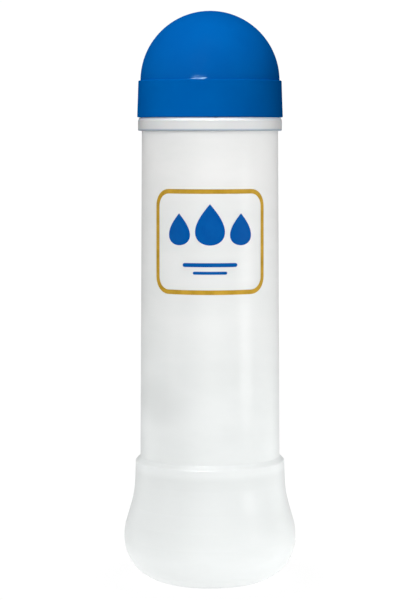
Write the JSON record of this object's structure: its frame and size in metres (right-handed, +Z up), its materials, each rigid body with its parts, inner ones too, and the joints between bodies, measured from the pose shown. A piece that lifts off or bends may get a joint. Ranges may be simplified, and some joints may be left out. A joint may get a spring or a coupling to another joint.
{
  "type": "squeeze lotion bottle",
  "caption": "Tall translucent squeeze bottle on a flared foot, with a white screw-on nozzle cap and a blue push-on domed overcap.",
  "frame": {"origin": "centre of the foot ring, on the surface the bottle stands on", "axes": "+Z up the bottle's axis; -Y towards the printed front; +X to the right of the front"},
  "size_m": [0.067, 0.067, 0.22],
  "materials": {
    "bottle_plastic": "translucent natural low-density polyethylene, satin blown surface",
    "gasket_foam": "white expanded polyethylene foam",
    "nozzle_plastic": "white polypropylene, fine satin",
    "dome_plastic": "blue polypropylene, semi-gloss",
    "gold_print": "gold screen-printed ink, satin",
    "blue_print": "blue screen-printed ink, satin"
  },
  "bodies": {
    "bottle": {"bottle_body": "bottle_plastic"},
    "seal_ring": {"neck_gasket": "gasket_foam"},
    "nozzle_closure": {"nozzle_cap": "nozzle_plastic"},
    "overcap": {"dome_cap": "dome_plastic"}
  },
  "joints": [
    {"name": "closure_rise", "type": "slide", "parent": "bottle", "child": "seal_ring", "axis": [0, 0, 1], "range_m": [0, 0.0252]},
    {"name": "nozzle_cap_turn", "type": "hinge", "parent": "seal_ring", "child": "nozzle_closure", "pos_m": [0, 0, 0.185], "axis": [0, 0, 1], "range_deg": [0, 2160]},
    {"name": "cap_lift", "type": "slide", "parent": "nozzle_closure", "child": "overcap", "axis": [0, 0, 1], "range_m": [0, 0.05]}
  ],
  "couplings": [
    {"joint": "closure_rise", "follows": "nozzle_cap_turn", "m_per_rad": 0.00066845}
  ]
}
